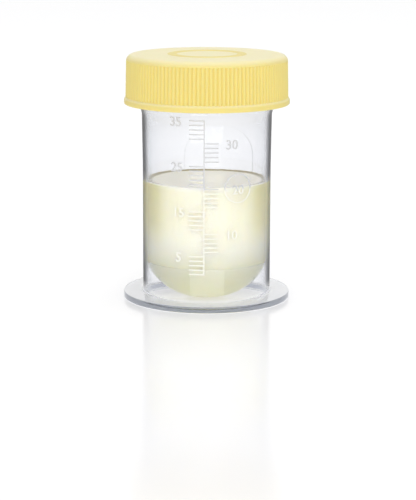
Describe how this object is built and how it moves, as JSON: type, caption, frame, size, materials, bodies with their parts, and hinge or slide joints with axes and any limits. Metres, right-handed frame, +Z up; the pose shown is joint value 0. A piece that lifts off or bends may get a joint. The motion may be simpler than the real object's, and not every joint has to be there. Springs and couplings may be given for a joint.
{
  "type": "specimen container",
  "caption": "Clear moulded specimen cup with a wide foot flange, hanging round bowl and ribbed yellow screw lid, part filled with a milky liquid.",
  "frame": {"origin": "centre of the foot flange's underside, on the surface the container stands on", "axes": "+Z up along the common axis of the cup and lid; the volume scale faces -Y"},
  "size_m": [0.045, 0.045, 0.0659],
  "materials": {
    "clear_plastic": "clear, glossy moulded polypropylene",
    "yellow_plastic": "satin, opaque pale yellow polypropylene",
    "milky_liquid": "opaque cream-coloured liquid, smooth"
  },
  "bodies": {
    "container": {"container_body": "clear_plastic", "liquid_sample": "milky_liquid"},
    "lid": {"screw_lid": "yellow_plastic"}
  },
  "joints": [
    {"name": "lid_lift", "type": "slide", "parent": "container", "child": "lid", "axis": [0, 0, 1], "range_m": [0, 0.04]}
  ]
}
